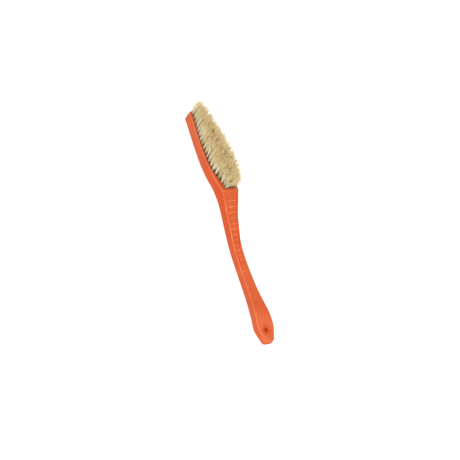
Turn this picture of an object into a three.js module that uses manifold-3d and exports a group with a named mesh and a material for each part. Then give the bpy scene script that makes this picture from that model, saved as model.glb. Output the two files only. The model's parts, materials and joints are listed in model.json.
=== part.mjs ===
// Climbing hold brush: a cranked, one-piece moulded handle whose head is set with tufts of boar
// bristle. Each tuft is folded round a flat wire anchor and driven into a blind hole of the head.
// Millimetres. The brush is drawn in the frame of its bristle face: X runs from the tip of the head
// to the tail, Y across, Z along the bristles, with Z = 0 on the face. It is then laid on its back.
import * as THREE from 'three';
import { mergeGeometries, mergeVertices } from 'three/addons/utils/BufferGeometryUtils.js';
import Module from 'manifold-3d';

const wasm = await Module();
wasm.setup();

// Handle, lengthwise: each run is measured from the station before it
const HEAD_WIDEST_RUN = 61.5;
const HEAD_NARROWING_RUN = 27.3;
const THROAT_RUN = 23.7;
const WAIST_RUN = 25.3;
const GRIP_RUN = 36;
const FLARE_RUN = 25.7;
const TAIL_WIDEST_RUN = 10.5;
const TAIL_END_RUN = 16.3;

// Handle, across: full widths at the stations
const TIP_WIDTH = 10.2;
const HEAD_WIDTH = 23.2;
const CREASE_WIDTH = 18.1;
const THROAT_WIDTH = 11.3;
const WAIST_WIDTH = 9.3;
const GRIP_WIDTH = 10.8;
const FLARE_WIDTH = 15.4;
const TAIL_WIDTH = 17.7;
const END_WIDTH = 10.4;

// Handle, in side view: how far the front lies below the bristle face, and how thick it is there
const THROAT_DROP = 15.1;
const WAIST_DROP = 26.8;
const GRIP_DROP = 32;
const FLARE_DROP = 33.7;
const TAIL_DROP = 36.9;
const END_DROP = 42;
const HEAD_THICKNESS = 11.4;
const HEAD_FLAT_BACK = 76.5;
const CREASE_THICKNESS = 13.8;
const THROAT_THICKNESS = 11.6;
const WAIST_THICKNESS = 9.4;
const GRIP_THICKNESS = 9.4;
const FLARE_THICKNESS = 10.4;
const TAIL_THICKNESS = 9.4;
const END_THICKNESS = 6.2;

// Rounding of the moulding's edges, and of its two ends seen from above
const FRONT_EDGE_RADIUS = 1.1;
const BACK_EDGE_RADIUS = 1.3;
const EDGE_SHARE_OF_WALL = 0.9;
const TIP_CORNER_RADIUS = 2.7;
const END_CORNER_RADIUS = 2.7;

// Hang hole in the tail, with the shallow dish round it on the front
const HANG_HOLE_FROM_END = 10.8;
const HANG_HOLE_DIAMETER = 4.4;
const DISH_DIAMETER = 11;
const DISH_DEPTH = 1;

// Sunk thumb panel on the front of the neck, crossed by plain ribs
const PANEL_SETBACK = 3.2;
const PANEL_LENGTH = 58;
const PANEL_BORDER = 1.7;
const PANEL_DEPTH = 0.7;
const PANEL_CORNER_RADIUS = 2.4;
const RIB_COUNT = 12;
const RIB_WIDTH = 1.9;
const RIB_HEIGHT = 0.5;

// Tuft holes: rows along the head, the tufts in each row, and how far they keep from the edges
const TUFTS_PER_ROW = [2, 2, 2, 2, 3, 3, 3, 3, 3, 4, 4, 4, 4, 4, 4, 3, 3, 3];
const FIRST_ROW_FROM_TIP = 4.4;
const LAST_ROW_FROM_CREASE = 4.3;
const HOLE_DIAMETER = 3;
const HOLE_DEPTH = 8;
const EDGE_MARGIN = 2.3;
const NECK_MARGIN = 4.4;

// Bristles: stout strands that stand for many hairs each, fused to a slice of the head's face
const BRISTLE_LENGTH = 15.3;
const STRANDS_PER_TUFT = 8;
const STRAND_ROOT_DIAMETER = 0.64;
const STRAND_TIP_DIAMETER = 0.52;
const TIP_FLARE = 0.7;
const NECK_FLARE = 1.3;
const TRIM_RAGGEDNESS = 0.8;
const SLICE_THICKNESS = 1.2;
const SLICE_BORDER = 0.6;

// Flat wire anchors
const ANCHOR_THICKNESS = 0.45;
const ANCHOR_HEIGHT = 1.7;
const ANCHOR_BITE = 0.35;
const ANCHOR_LEAD = 0.3;
const ANCHOR_TURN = THREE.MathUtils.degToRad(30);
const FOLD_THICKNESS = 0.9;

// Clearance between pieces that fit one in another
const FIT_GAP = 0.3;

// Fineness of the facets, and how far a cutter reaches past the skin that it opens
const HEAD_STEP = 6;
const HANDLE_STEP = 3;
const CORNER_STEPS = 3;
const END_STEPS = 6;
const HOLE_SIDES = 8;
const PLUG_SIDES = 6;
const HANG_HOLE_SIDES = 20;
const CUT_REACH = 1.5;
const WELD = 1e-4;
const DRAW_SEED = 7;

const BANKS = ['bristle_bank_tip', 'bristle_bank_middle', 'bristle_bank_neck'];

// Stations of the handle along X
const headWidest = HEAD_WIDEST_RUN;
const crease = headWidest + HEAD_NARROWING_RUN;
const throat = crease + THROAT_RUN;
const waist = throat + WAIST_RUN;
const grip = waist + GRIP_RUN;
const flare = grip + FLARE_RUN;
const tailWidest = flare + TAIL_WIDEST_RUN;
const tailEnd = tailWidest + TAIL_END_RUN;

/** A smooth curve through values at given places, which never overshoots them. */
function fairCurve(places, values) {
  const last = places.length - 1;
  const secant = (i) => (values[i + 1] - values[i]) / (places[i + 1] - places[i]);
  const slopes = places.map((_, i) => {
    if (i === 0 || i === last) return secant(Math.min(i, last - 1));
    const before = secant(i - 1);
    const after = secant(i);
    return before * after <= 0 ? 0 : (2 * before * after) / (before + after);
  });
  return (place) => {
    const x = THREE.MathUtils.clamp(place, places[0], places[last]);
    const i = Math.max(places.findIndex((end) => end >= x) - 1, 0);
    const span = places[i + 1] - places[i];
    const t = (x - places[i]) / span;
    const blend = t * t * (3 - 2 * t);
    const lift = t * (1 - t) * ((1 - t) * slopes[i] - t * slopes[i + 1]);
    return values[i] + (values[i + 1] - values[i]) * blend + span * lift;
  };
}

const halfWidth = fairCurve(
  [0, headWidest, crease, throat, waist, grip, flare, tailWidest, tailEnd],
  [TIP_WIDTH, HEAD_WIDTH, CREASE_WIDTH, THROAT_WIDTH, WAIST_WIDTH, GRIP_WIDTH, FLARE_WIDTH, TAIL_WIDTH,
    END_WIDTH].map((width) => width / 2),
);
const neckFront = fairCurve(
  [crease, throat, waist, grip, flare, tailWidest, tailEnd],
  [0, -THROAT_DROP, -WAIST_DROP, -GRIP_DROP, -FLARE_DROP, -TAIL_DROP, -END_DROP],
);
const backLine = fairCurve(
  [0, HEAD_FLAT_BACK, crease, throat, waist, grip, flare, tailWidest, tailEnd],
  [-HEAD_THICKNESS, -HEAD_THICKNESS, -CREASE_THICKNESS, -THROAT_DROP - THROAT_THICKNESS,
    -WAIST_DROP - WAIST_THICKNESS, -GRIP_DROP - GRIP_THICKNESS, -FLARE_DROP - FLARE_THICKNESS,
    -TAIL_DROP - TAIL_THICKNESS, -END_DROP - END_THICKNESS],
);

/** Height of the front: flat under the bristles, then down the neck and along the handle. */
const frontLine = (x) => (x <= crease ? 0 : neckFront(x));

/** How far a rounded edge of this radius has drawn in, at a depth from the end that it rounds. */
function drawnIn(radius, depth) {
  const short = Math.max(radius - depth, 0);
  return radius - Math.sqrt(radius * radius - short * short);
}

/** A closed three.js geometry as a solid that can be joined and cut. */
function solid(geometry) {
  const bare = geometry.clone();
  bare.deleteAttribute('normal');
  bare.deleteAttribute('uv');
  const merged = mergeVertices(bare, WELD);
  return new wasm.Manifold(new wasm.Mesh({
    numProp: 3,
    vertProperties: new Float32Array(merged.attributes.position.array),
    triVerts: new Uint32Array(merged.index.array),
  }));
}

/** Several separate closed geometries as one solid. */
const solids = (geometries) => solid(mergeGeometries(geometries));

/** A named mesh of a solid. */
function piece(name, body, material) {
  const { vertProperties, triVerts } = body.getMesh();
  const geometry = new THREE.BufferGeometry();
  geometry.setAttribute('position', new THREE.BufferAttribute(vertProperties, 3));
  geometry.setIndex(new THREE.BufferAttribute(triVerts, 1));
  geometry.computeVertexNormals();
  const mesh = new THREE.Mesh(geometry, material);
  mesh.name = name;
  return mesh;
}

/** A skin over rings of as many points each, closed at both ends. Rings run anticlockwise from ahead. */
function loft(rings) {
  const sides = rings[0].length;
  const last = (rings.length - 1) * sides;
  const index = [];
  for (let start = 0; start < last; start += sides) {
    for (let side = 0; side < sides; side += 1) {
      const a = start + side;
      const b = start + ((side + 1) % sides);
      index.push(a, b, a + sides, b, b + sides, a + sides);
    }
  }
  for (let side = 1; side < sides - 1; side += 1) {
    index.push(0, side + 1, side);
    index.push(last, last + side, last + side + 1);
  }
  const geometry = new THREE.BufferGeometry().setFromPoints(rings.flat());
  geometry.setIndex(index);
  return geometry;
}

/** Section of the handle at x: a box with rounded edges, drawn in near the two ends. */
function handleRing(x) {
  const fromTip = x;
  const fromEnd = tailEnd - x;
  const half = halfWidth(x) - drawnIn(TIP_CORNER_RADIUS, fromTip) - drawnIn(END_CORNER_RADIUS, fromEnd);
  const frontDraw = drawnIn(FRONT_EDGE_RADIUS, fromTip) + drawnIn(FRONT_EDGE_RADIUS, fromEnd);
  const backDraw = drawnIn(BACK_EDGE_RADIUS, fromTip) + drawnIn(FRONT_EDGE_RADIUS, fromEnd);
  const front = frontLine(x) - frontDraw;
  const back = backLine(x) + backDraw;
  const room = Math.min(half, (front - back) / 2) * EDGE_SHARE_OF_WALL;
  const frontRadius = Math.min(FRONT_EDGE_RADIUS, room);
  const backRadius = Math.min(BACK_EDGE_RADIUS, room);
  const corners = [
    { y: half - frontRadius, z: front - frontRadius, radius: frontRadius },
    { y: frontRadius - half, z: front - frontRadius, radius: frontRadius },
    { y: backRadius - half, z: back + backRadius, radius: backRadius },
    { y: half - backRadius, z: back + backRadius, radius: backRadius },
  ];
  return corners.flatMap(({ y, z, radius }, corner) => {
    const arc = [];
    for (let step = 0; step <= CORNER_STEPS; step += 1) {
      const turn = (corner + step / CORNER_STEPS) * (Math.PI / 2);
      arc.push(new THREE.Vector3(x, y + radius * Math.cos(turn), z + radius * Math.sin(turn)));
    }
    return arc;
  });
}

/** Even places from one end to the other, no further apart than a step, without the last. */
function spread(from, to, step) {
  const count = Math.ceil((to - from) / step);
  return Array.from({ length: count }, (_, i) => from + ((to - from) * i) / count);
}

/** Depths at which a rounded end is cut into sections, closer together towards the end. */
function endDepths(radius) {
  const quarter = Math.PI / 2 / END_STEPS;
  return Array.from({ length: END_STEPS }, (_, i) => radius * (1 - Math.cos(i * quarter)));
}

const handlePlaces = [
  ...endDepths(TIP_CORNER_RADIUS),
  ...spread(TIP_CORNER_RADIUS, HEAD_FLAT_BACK, HEAD_STEP),
  ...spread(HEAD_FLAT_BACK, crease, HANDLE_STEP),
  ...spread(crease, tailEnd - END_CORNER_RADIUS, HANDLE_STEP),
  tailEnd - END_CORNER_RADIUS,
  ...endDepths(END_CORNER_RADIUS).reverse().map((depth) => tailEnd - depth),
];

// Tufts: their places in rows, and the room that each has for its bristles to fan out into
const lastRow = TUFTS_PER_ROW.length - 1;
const rowPitch = (crease - LAST_ROW_FROM_CREASE - FIRST_ROW_FROM_TIP) / lastRow;
const rowPlace = (row) => FIRST_ROW_FROM_TIP + row * rowPitch;
const rowsPerBank = TUFTS_PER_ROW.length / BANKS.length;
const holeRadius = HOLE_DIAMETER / 2;

/** Half-width of the tufted field: the head's, less a margin that widens towards the neck. */
function fieldHalfWidth(x) {
  const towardsNeck = THREE.MathUtils.smoothstep(x, headWidest, rowPlace(lastRow));
  return halfWidth(x) - THREE.MathUtils.lerp(EDGE_MARGIN, NECK_MARGIN, towardsNeck);
}

const tufts = TUFTS_PER_ROW.flatMap((count, row) => {
  const x = rowPlace(row);
  const outer = fieldHalfWidth(x) - holeRadius;
  const pitch = count > 1 ? (2 * outer) / (count - 1) : 2 * holeRadius;
  const flareHere = THREE.MathUtils.lerp(TIP_FLARE, NECK_FLARE, row / lastRow);
  const rowEnd = Number(row === lastRow) - Number(row === 0);
  return Array.from({ length: count }, (_, i) => ({
    x,
    y: (i - (count - 1) / 2) * pitch,
    room: new THREE.Vector2(rowPitch / 2, Math.min(pitch, rowPitch) / 2),
    lean: new THREE.Vector2(rowEnd, Number(i === count - 1) - Number(i === 0)).multiplyScalar(flareHere),
    bank: Math.floor(row / rowsPerBank),
  }));
});

/** A copy of a geometry at each tuft, turned in line with its anchor. */
function atTufts(members, geometry) {
  return members.map(({ x, y }) => geometry.clone().rotateZ(ANCHOR_TURN).translate(x, y, 0));
}

/** An upright prism between two heights. */
function upright(radius, sides, low, high) {
  const prism = new THREE.CylinderGeometry(radius, radius, high - low, sides);
  return prism.rotateX(Math.PI / 2).translate(0, 0, (low + high) / 2);
}

/** A box centred on the axis of a tuft, between two heights. */
function boxAtTuft(length, width, low, high) {
  return new THREE.BoxGeometry(length, width, high - low).translate(0, 0, (low + high) / 2);
}

/** Plan of the tufted field between two places, with a border round it. */
function fieldPlan(from, to, border) {
  const places = [...spread(from, to, HEAD_STEP), to];
  const edge = places.map((x) => new THREE.Vector2(x, fieldHalfWidth(x) + border));
  const mirrored = edge.map(({ x, y }) => new THREE.Vector2(x, -y)).reverse();
  return new THREE.Shape([...mirrored, ...edge]);
}

/** A plan raised between two heights. */
function raised(plan, low, high) {
  return new THREE.ExtrudeGeometry(plan, { depth: high - low, bevelEnabled: false }).translate(0, 0, low);
}

const fieldStart = rowPlace(0) - holeRadius - SLICE_BORDER;
const fieldEnd = rowPlace(lastRow) + holeRadius + SLICE_BORDER;
const pocketFloor = -SLICE_THICKNESS - FIT_GAP;

// Heights of the anchor and of the tuft's fold under it, from the bottom of the hole upwards
const foldBottom = FIT_GAP - HOLE_DEPTH;
const anchorBottom = foldBottom + FOLD_THICKNESS + FIT_GAP;
const anchorTop = anchorBottom + ANCHOR_HEIGHT;
const anchorLength = HOLE_DIAMETER + 2 * ANCHOR_BITE;
const slotWidth = ANCHOR_THICKNESS + 2 * FIT_GAP;

/** The sunk panel of the neck as a cutter: its floor steps up at each rib. */
function panelCutter() {
  const start = crease + PANEL_SETBACK;
  const end = start + PANEL_LENGTH;
  const ribPitch = (PANEL_LENGTH - 2 * PANEL_CORNER_RADIUS) / RIB_COUNT;
  const ring = (x, depth) => {
    const corner = drawnIn(PANEL_CORNER_RADIUS, x - start) + drawnIn(PANEL_CORNER_RADIUS, end - x);
    const half = halfWidth(x) - PANEL_BORDER - corner;
    const low = frontLine(x) - depth;
    const high = frontLine(x) + CUT_REACH;
    const corners = [[half, low], [half, high], [-half, high], [-half, low]];
    return corners.map(([y, z]) => new THREE.Vector3(x, y, z));
  };
  const firstRib = start + PANEL_CORNER_RADIUS + ribPitch / 2;
  const ribs = Array.from({ length: RIB_COUNT }, (_, i) => firstRib + i * ribPitch);
  const slope = RIB_HEIGHT / 2;
  const ribRings = ribs.flatMap((middle) => [
    ring(middle - RIB_WIDTH / 2 - slope, PANEL_DEPTH),
    ring(middle - RIB_WIDTH / 2, PANEL_DEPTH - RIB_HEIGHT),
    ring(middle + RIB_WIDTH / 2, PANEL_DEPTH - RIB_HEIGHT),
    ring(middle + RIB_WIDTH / 2 + slope, PANEL_DEPTH),
  ]);
  const roundings = endDepths(PANEL_CORNER_RADIUS);
  return solid(loft([
    ...roundings.map((depth) => ring(start + depth, PANEL_DEPTH)),
    ...ribRings,
    ...roundings.reverse().map((depth) => ring(end - depth, PANEL_DEPTH)),
  ]));
}

/** The hang hole and its dish as a cutter, square to the front of the tail. */
function hangHoleCutter() {
  const x = tailEnd - HANG_HOLE_FROM_END;
  const reach = TAIL_THICKNESS + CUT_REACH;
  const radius = HANG_HOLE_DIAMETER / 2;
  const profile = [[0, -2 * reach], [radius, -2 * reach], [radius, -DISH_DEPTH], [DISH_DIAMETER / 2, 0],
    [DISH_DIAMETER / 2, reach], [0, reach]];
  const lathe = new THREE.LatheGeometry(profile.map(([r, z]) => new THREE.Vector2(r, z)), HANG_HOLE_SIDES);
  const slope = Math.atan2(frontLine(x + CUT_REACH) - frontLine(x - CUT_REACH), 2 * CUT_REACH);
  return solid(lathe.rotateX(Math.PI / 2).rotateY(-slope).translate(x, 0, frontLine(x)));
}

/** The handle, with the pocket of the bristle slices and a slotted blind hole for each tuft. */
function makeHandle() {
  const pocket = raised(fieldPlan(fieldStart, fieldEnd, SLICE_BORDER), pocketFloor, CUT_REACH);
  const mouth = pocketFloor + FIT_GAP;
  const hole = upright(holeRadius, HOLE_SIDES, -HOLE_DEPTH, mouth);
  const slot = boxAtTuft(anchorLength + 2 * FIT_GAP, slotWidth, anchorBottom - FIT_GAP, mouth);
  const body = solid(loft(handlePlaces.map(handleRing)))
    .subtract(solid(pocket))
    .subtract(solids(atTufts(tufts, hole)))
    .subtract(solids(atTufts(tufts, slot)))
    .subtract(panelCutter())
    .subtract(hangHoleCutter());
  const plastic = new THREE.MeshStandardMaterial({ color: '#e2663f', roughness: 0.5, metalness: 0 });
  return piece('handle', body, plastic);
}

/** One strand from the slice to the trim, three-sided and slightly tapered. */
function strand(root, tip) {
  const ring = ({ x, y, z }, diameter) => Array.from({ length: 3 }, (_, i) => {
    const turn = (i * 2 * Math.PI) / 3;
    return new THREE.Vector3(x + (diameter / 2) * Math.cos(turn), y + (diameter / 2) * Math.sin(turn), z);
  });
  return loft([ring(root, STRAND_ROOT_DIAMETER), ring(tip, STRAND_TIP_DIAMETER)]);
}

/** The strands of a tuft: one in the middle and a ring round it, fanning out over the tuft's own room. */
function tuftStrands({ x, y, room, lean }) {
  const ringTurn = (2 * Math.PI) / (STRANDS_PER_TUFT - 1);
  const rootReach = holeRadius - FIT_GAP - STRAND_ROOT_DIAMETER / 2;
  const tipReach = room.clone().subScalar(STRAND_TIP_DIAMETER);
  const firstTurn = THREE.MathUtils.seededRandom() * 2 * Math.PI;
  return Array.from({ length: STRANDS_PER_TUFT }, (_, i) => {
    const turn = firstTurn + i * ringTurn;
    const across = new THREE.Vector2(Math.cos(turn), Math.sin(turn)).multiplyScalar(Number(i > 0));
    const trim = BRISTLE_LENGTH - THREE.MathUtils.seededRandom() * TRIM_RAGGEDNESS;
    const middle = new THREE.Vector2(x, y);
    const root = across.clone().multiplyScalar(rootReach).add(middle);
    const tip = across.clone().multiply(tipReach).add(lean).add(middle);
    return strand({ ...root, z: -SLICE_THICKNESS / 2 }, { ...tip, z: trim });
  });
}

/** A bank of bristles: a slice of the face, its strands, and the folded roots below with their eyes. */
function makeBank(name, bank) {
  const members = tufts.filter((tuft) => tuft.bank === bank);
  const firstRow = bank * rowsPerBank;
  const from = bank === 0 ? fieldStart : rowPlace(firstRow) - rowPitch / 2;
  const to = bank === BANKS.length - 1 ? fieldEnd : rowPlace(firstRow + rowsPerBank) - rowPitch / 2;
  const ends = [from + FIT_GAP / 2, to - FIT_GAP / 2];
  const slice = raised(fieldPlan(...ends, SLICE_BORDER - FIT_GAP), -SLICE_THICKNESS, 0);
  const plug = upright(holeRadius - FIT_GAP, PLUG_SIDES, foldBottom, -SLICE_THICKNESS / 2);
  const eye = boxAtTuft(HOLE_DIAMETER, slotWidth, anchorBottom - FIT_GAP, anchorTop + FIT_GAP);
  const body = solid(slice)
    .add(solids(atTufts(members, plug)))
    .subtract(solids(atTufts(members, eye)))
    .add(solids(members.flatMap(tuftStrands)));
  const hair = new THREE.MeshStandardMaterial({ color: '#cdb684', roughness: 0.9, metalness: 0 });
  return piece(name, body, hair);
}

/** A flat wire anchor with its lower corners cut back, where it is driven into the hole's wall. */
function makeAnchor({ x, y }, number) {
  const half = anchorLength / 2;
  const shoulder = anchorBottom + ANCHOR_LEAD;
  const outline = [[ANCHOR_LEAD - half, anchorBottom], [half - ANCHOR_LEAD, anchorBottom], [half, shoulder],
    [half, anchorTop], [-half, anchorTop], [-half, shoulder]];
  const plan = new THREE.Shape(outline.map(([along, height]) => new THREE.Vector2(along, height)));
  const geometry = new THREE.ExtrudeGeometry(plan, { depth: ANCHOR_THICKNESS, bevelEnabled: false });
  geometry.translate(0, 0, -ANCHOR_THICKNESS / 2).rotateX(Math.PI / 2);
  const wire = new THREE.MeshStandardMaterial({ color: '#b9bcc0', roughness: 0.35, metalness: 1 });
  const mesh = piece(`anchor_${String(number + 1).padStart(2, '0')}`, solid(geometry), wire);
  mesh.position.set(x, y, 0);
  mesh.rotation.z = ANCHOR_TURN;
  return mesh;
}

/** How far the brush tips when laid on its back: the slope of the line that bridges head and handle. */
function restTilt() {
  const back = handlePlaces.map((x) => {
    const heights = handleRing(x).map(({ z }) => z);
    return new THREE.Vector2(x, Math.min(...heights));
  });
  const hull = [];
  back.forEach((point) => {
    while (hull.length > 1) {
      const [a, b] = hull.slice(-2);
      if (b.clone().sub(a).cross(point.clone().sub(a)) > 0) break;
      hull.pop();
    }
    hull.push(point);
  });
  const after = hull.findIndex(({ x }) => x > crease);
  const bridge = hull[after].clone().sub(hull[after - 1]);
  return Math.atan2(-bridge.y, bridge.x);
}

THREE.MathUtils.seededRandom(DRAW_SEED);

const laid = new THREE.Group();
laid.rotation.y = -restTilt();
laid.add(makeHandle());
BANKS.forEach((name, bank) => laid.add(makeBank(name, bank)));
tufts.forEach((tuft, number) => laid.add(makeAnchor(tuft, number)));

// The origin is on the table, under the middle of the brush
const brush = new THREE.Group();
brush.add(laid);
brush.updateMatrixWorld(true);
const reach = new THREE.Box3().setFromObject(brush, true);
const middle = reach.getCenter(new THREE.Vector3());
laid.position.set(-middle.x, -middle.y, -reach.min.z);

export default brush;
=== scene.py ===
"""Climbing hold brush: a cranked orange moulding whose head is set with tufts of boar bristle.

The brush is modelled in millimetres in the frame of its bristle face: X runs from the tip of the head to
the tail, Y across, Z along the bristles, with Z = 0 on the face. Each finished piece is then laid on the
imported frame, in metres.
"""

import json
import logging
import math
from collections.abc import Callable, Iterable, Sequence
from dataclasses import dataclass, field
from enum import Enum
from itertools import pairwise
from typing import Any, NamedTuple

import bmesh
import bpy
import numpy as np
from mathutils import Matrix, Vector


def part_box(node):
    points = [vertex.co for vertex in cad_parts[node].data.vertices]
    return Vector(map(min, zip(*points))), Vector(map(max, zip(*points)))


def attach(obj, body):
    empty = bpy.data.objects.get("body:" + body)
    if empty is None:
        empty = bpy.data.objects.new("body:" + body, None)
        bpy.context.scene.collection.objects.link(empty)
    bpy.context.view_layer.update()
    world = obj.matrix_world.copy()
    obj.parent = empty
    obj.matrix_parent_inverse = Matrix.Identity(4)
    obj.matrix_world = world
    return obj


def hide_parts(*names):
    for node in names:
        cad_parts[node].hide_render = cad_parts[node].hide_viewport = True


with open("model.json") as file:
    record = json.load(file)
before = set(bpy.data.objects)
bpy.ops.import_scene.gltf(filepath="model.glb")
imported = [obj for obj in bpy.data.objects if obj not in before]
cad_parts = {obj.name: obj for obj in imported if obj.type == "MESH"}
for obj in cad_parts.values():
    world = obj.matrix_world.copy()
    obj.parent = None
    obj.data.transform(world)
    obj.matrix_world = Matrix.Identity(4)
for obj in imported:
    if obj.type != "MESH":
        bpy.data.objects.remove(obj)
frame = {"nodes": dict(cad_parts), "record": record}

log = logging.getLogger("hold_brush")

METRES_PER_MM = 0.001
PHOTO_SIDE_PX = 460
WHITE = (1, 1, 1, 1)

# Distances within which points count as together, in millimetres
DOUBLES = 1e-4
SAME_ROW = 0.002
ON_LINE = 0.01
SAME_SHEET = 0.1
MIDDLE_LINE = 0.2
ROW_DIGITS = 3

# The upright part of a normal: above the first on the front and the back, below the second on a side
FACES_UP = 0.4
FACES_ASIDE = 0.2

# What a count of steps may gain by rounding
ROUNDING = 1e-6

# The range that most of a noise lies in, and the whole of a share
NOISE_SPAN = (0.3, 0.7)
WHOLE = (0.0, 1.0)

Point = tuple[float, float, float]
Colour = tuple[float, float, float]
Span = tuple[float, float]
Socket = bpy.types.NodeSocket


class Pick(Enum):
    """The kinds of mesh element that a selection can hold."""

    VERTS = "VERT"
    EDGES = "EDGE"
    FACES = "FACE"


class Merge(Enum):
    """What a second solid does to the first."""

    JOIN = "UNION"
    CUT_OUT = "DIFFERENCE"


class Slot(Enum):
    """The record's material slots."""

    HANDLE_PLASTIC = "handle_plastic"
    BRISTLE = "bristle"
    ANCHOR_WIRE = "anchor_wire"


class FairCurve:
    """A smooth curve through values at given places, which never overshoots them."""

    def __init__(self, places: Sequence[float], values: Sequence[float]) -> None:
        """Keeps the points of the curve and works out its slope at each.

        Args:
            places: Where the values are known, in rising order.
            values: The curve's value at each place.
        """
        self.places = np.asarray(places, float)
        self.values = np.asarray(values, float)
        secants = np.diff(self.values) / np.diff(self.places)
        before = secants[:-1]
        after = secants[1:]
        turning = before * after <= 0
        total = np.where(turning, 1.0, before + after)
        inner = np.where(turning, 0.0, 2 * before * after / total)
        self.slopes = np.concatenate([secants[:1], inner, secants[-1:]])

    def __call__(self, place: float) -> float:
        """The curve's value at a place.

        Args:
            place: Where to read the curve; beyond its ends it keeps their values.

        Returns:
            The value there.
        """
        x = float(np.clip(place, self.places[0], self.places[-1]))
        i = int(np.clip(np.searchsorted(self.places, x) - 1, 0, len(self.places) - 2))
        span = self.places[i + 1] - self.places[i]
        t = (x - self.places[i]) / span
        blend = t * t * (3 - 2 * t)
        lift = t * (1 - t) * ((1 - t) * self.slopes[i] - t * self.slopes[i + 1])
        return float(self.values[i] + (self.values[i + 1] - self.values[i]) * blend + span * lift)


def drawn_in(radius: float, depth: float) -> float:
    """How far a rounded edge has drawn in at a depth from the end that it rounds."""
    short = min(max(radius - depth, 0.0), radius)
    return radius - math.sqrt(radius * radius - short * short)


def spread(start: float, end: float, step: float) -> list[float]:
    """Even places from one end to the other, no further apart than a step, without the last."""
    count = math.ceil((end - start) / step - ROUNDING)
    return [start + (end - start) * i / count for i in range(count)]


def arc_depths(radius: float, steps: int) -> list[float]:
    """Depths at which a rounded end is cut into sections, closer together towards the end."""
    return [radius * (1 - math.cos(i * math.pi / 2 / steps)) for i in range(steps)]


def on_circle(turns: np.ndarray) -> np.ndarray:
    """Points of a unit circle at given turns."""
    return np.stack([np.cos(turns), np.sin(turns)], axis=1)


def aimed(back: Vector, upright: Vector) -> Matrix:
    """The turn whose columns are a light's or a camera's right, top and back, with its top upright."""
    right = upright.cross(back).normalized()
    return Matrix((right, back.cross(right), back)).transposed()


def make_only_selection(piece: bpy.types.Object) -> None:
    """Makes a piece the one that is selected and active.

    Args:
        piece: The piece.
    """
    bpy.ops.object.select_all(action="DESELECT")
    piece.select_set(True)
    bpy.context.view_layer.objects.active = piece


def carry(mesh: bpy.types.Mesh, name: str, values: Sequence[float] | np.ndarray) -> None:
    """Stores a value on each point of a mesh, for its finish to read."""
    attribute = mesh.attributes.new(name, "FLOAT", "POINT")
    attribute.data.foreach_set("value", np.ravel(values).astype(np.float32))


@dataclass(frozen=True)
class BrushFrame:
    """Where the bristle face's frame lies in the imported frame: tipped about Y, then moved."""

    tilt: float
    move: Vector

    @classmethod
    def from_record(cls, record: dict[str, Any], mount_point: Point) -> "BrushFrame":
        """Reads the placement off the flat of the head's back.

        Args:
            record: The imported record.
            mount_point: The mount's place in the bristle face's frame, in millimetres.

        Returns:
            The placement.
        """
        mount = next(m for m in record["mounts"] if m["name"] == "head_back")
        tilt = math.atan2(mount["axis"][0], -mount["axis"][2])
        turned = Matrix.Rotation(-tilt, 3, "Y") @ Vector(mount_point) * METRES_PER_MM
        return cls(tilt, Vector(mount["pos_m"]) - turned)

    def turned(self, direction: Point) -> Vector:
        """A direction of the bristle face's frame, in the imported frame."""
        return Matrix.Rotation(-self.tilt, 3, "Y") @ Vector(direction)

    def placed(self, point: Point) -> Vector:
        """A point in millimetres of the bristle face's frame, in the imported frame."""
        return self.turned(point) * METRES_PER_MM + self.move

    def drawn(self, point: Vector) -> Vector:
        """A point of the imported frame, in millimetres of the bristle face's frame."""
        return Matrix.Rotation(self.tilt, 3, "Y") @ (point - self.move) / METRES_PER_MM

    def lay(self, piece: bpy.types.Object) -> None:
        """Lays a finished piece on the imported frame, with its place in its mesh.

        Args:
            piece: An object whose mesh is in millimetres of the bristle face's frame.
        """
        make_only_selection(piece)
        piece.scale = (METRES_PER_MM,) * 3
        piece.rotation_euler = (0, -self.tilt, 0)
        piece.location = self.move
        bpy.ops.object.transform_apply(location=True, rotation=True, scale=True)


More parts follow.
